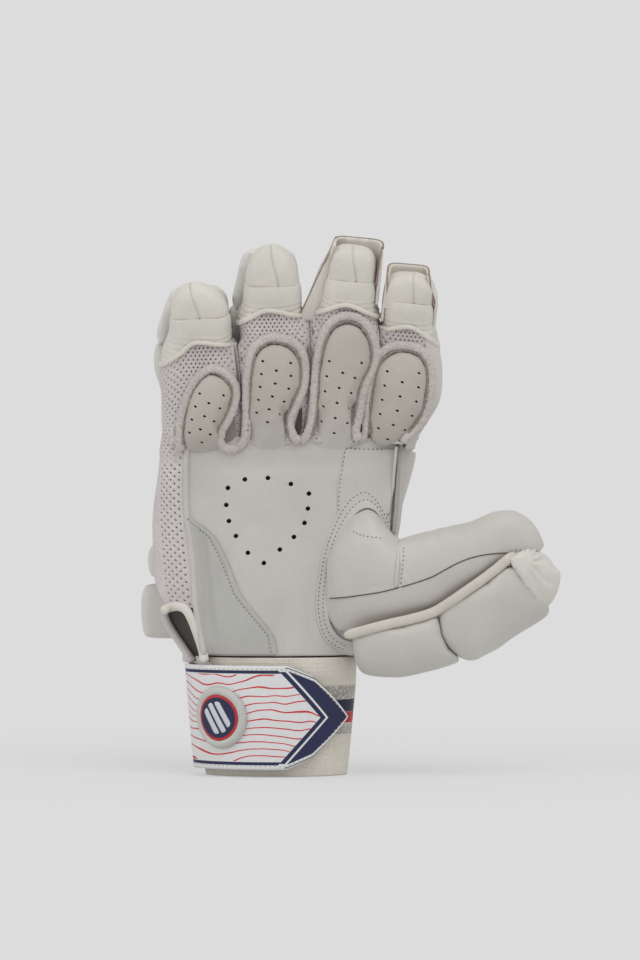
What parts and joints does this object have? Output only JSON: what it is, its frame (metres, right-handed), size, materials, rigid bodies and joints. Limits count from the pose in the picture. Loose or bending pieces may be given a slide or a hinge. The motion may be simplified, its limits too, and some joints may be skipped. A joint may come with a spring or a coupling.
{
  "type": "batting glove",
  "caption": "Padded right-hand batting glove standing on its cuff: leather palm, mesh finger stalls, foam rolls on the back, side thumb and a wrap-over wrist strap.",
  "frame": {"origin": "middle of the glove's box on the surface it stands on", "axes": "+Z from the cuff to the fingertips, -Y out of the palm, +X towards the thumb"},
  "size_m": [0.21, 0.0856, 0.2707],
  "materials": {
    "leather": "off-white smooth leather",
    "panel_leather": "perforated warm white leather",
    "patch_leather": "grey-white suede-like patch",
    "cream_leather": "cream smooth leather",
    "mesh": "open air mesh",
    "towelling": "looped towelling",
    "cuff_knit": "elastic towelling knit with woven stripes",
    "strap_face": "white coated leather, printed and edge stitched",
    "hook_loop": "white hook and loop pile",
    "badge_rubber": "raised moulded badge",
    "guard_fibre": "stiff fibre hood with a covered edge"
  },
  "bodies": {
    "hand": {"cuff_band": "cuff_knit", "strap_anchor": "strap_face", "loop_pad": "hook_loop", "palm_leather": "leather", "heel_patch": "patch_leather", "index_patch": "leather", "back_panel": "leather", "side_mesh": "mesh", "side_edge_roll": "cream_leather", "index_side": "mesh", "wrist_bar_lower": "leather", "wrist_bar_upper": "leather", "back_roll_little": "leather", "back_roll_ring": "leather", "back_roll_middle": "leather", "back_roll_index": "leather"},
    "little_base": {"little_sleeve": "mesh", "little_panel": "panel_leather", "little_binding": "towelling", "little_base_roll": "leather"},
    "little_tip": {"little_band": "cream_leather", "little_tip_pad": "cream_leather", "little_tip_roll": "leather"},
    "ring_base": {"ring_sleeve": "mesh", "ring_panel": "panel_leather", "ring_binding": "towelling", "ring_base_roll": "leather"},
    "ring_tip": {"ring_band": "cream_leather", "ring_tip_pad": "cream_leather", "ring_tip_roll": "leather"},
    "middle_base": {"middle_sleeve": "mesh", "middle_panel": "panel_leather", "middle_binding": "towelling", "middle_base_roll": "leather"},
    "middle_tip": {"middle_band": "cream_leather", "middle_tip_pad": "cream_leather", "middle_tip_roll": "leather", "middle_tip_guard": "guard_fibre"},
    "index_base": {"index_sleeve": "mesh", "index_panel": "panel_leather", "index_binding": "towelling", "index_base_roll": "leather"},
    "index_tip": {"index_band": "cream_leather", "index_tip_pad": "cream_leather", "index_tip_roll": "leather", "index_tip_guard": "guard_fibre"},
    "thumb_base": {"thumb_saddle": "leather", "thumb_sleeve": "leather", "thumb_base_roll": "leather", "thumb_binding": "cream_leather"},
    "thumb_tip": {"thumb_tip_sleeve": "leather", "thumb_tip_roll": "leather", "thumb_tip_cap": "cream_leather", "thumb_tip_binding": "cream_leather"},
    "strap": {"strap_tab": "strap_face", "hook_pad": "hook_loop", "strap_badge": "badge_rubber"}
  },
  "joints": [
    {"name": "little_knuckle", "type": "hinge", "parent": "hand", "child": "little_base", "pos_m": [-0.07569, -0.0158, 0.166], "axis": [0.9997, 0, 0.0262], "range_deg": [0, 70], "stiffness_Nm_per_rad": 0.1},
    {"name": "little_fold", "type": "hinge", "parent": "little_base", "child": "little_tip", "pos_m": [-0.07701, -0.02289, 0.21649], "axis": [0.9997, 0, 0.0262], "range_deg": [0, 70], "stiffness_Nm_per_rad": 0.05},
    {"name": "ring_knuckle", "type": "hinge", "parent": "hand", "child": "ring_base", "pos_m": [-0.04037, -0.0158, 0.166], "axis": [0.9998, 0, 0.0175], "range_deg": [0, 70], "stiffness_Nm_per_rad": 0.1},
    {"name": "ring_fold", "type": "hinge", "parent": "ring_base", "child": "ring_tip", "pos_m": [-0.04153, -0.02512, 0.23234], "axis": [0.9998, 0, 0.0175], "range_deg": [0, 70], "stiffness_Nm_per_rad": 0.05},
    {"name": "middle_knuckle", "type": "hinge", "parent": "hand", "child": "middle_base", "pos_m": [-0.00933, -0.0158, 0.166], "axis": [0.9954, 0, -0.0958], "range_deg": [0, 70], "stiffness_Nm_per_rad": 0.1},
    {"name": "middle_fold", "type": "hinge", "parent": "middle_base", "child": "middle_tip", "pos_m": [-0.00268, -0.02554, 0.235], "axis": [0.9954, 0, -0.0958], "range_deg": [0, 70], "stiffness_Nm_per_rad": 0.05},
    {"name": "index_knuckle", "type": "hinge", "parent": "hand", "child": "index_base", "pos_m": [0.02276, -0.0158, 0.166], "axis": [0.9962, 0, -0.0872], "range_deg": [0, 70], "stiffness_Nm_per_rad": 0.1},
    {"name": "index_fold", "type": "hinge", "parent": "index_base", "child": "index_tip", "pos_m": [0.02786, -0.02401, 0.2242], "axis": [0.9962, 0, -0.0872], "range_deg": [0, 70], "stiffness_Nm_per_rad": 0.05},
    {"name": "thumb_swing", "type": "hinge", "parent": "hand", "child": "thumb_base", "pos_m": [-0.01455, -0.0158, 0.095], "axis": [0, 0, -1], "range_deg": [0, 40], "stiffness_Nm_per_rad": 0.1},
    {"name": "thumb_fold", "type": "hinge", "parent": "thumb_base", "child": "thumb_tip", "pos_m": [0.04345, -0.0193, 0.1252], "axis": [0, -1, 0], "range_deg": [0, 35], "stiffness_Nm_per_rad": 0.1},
    {"name": "strap_swing", "type": "hinge", "parent": "hand", "child": "strap", "pos_m": [-0.07955, 0.00094, 0.03], "axis": [0.0874, 0.0018, -0.9962], "range_deg": [0, 110]}
  ]
}
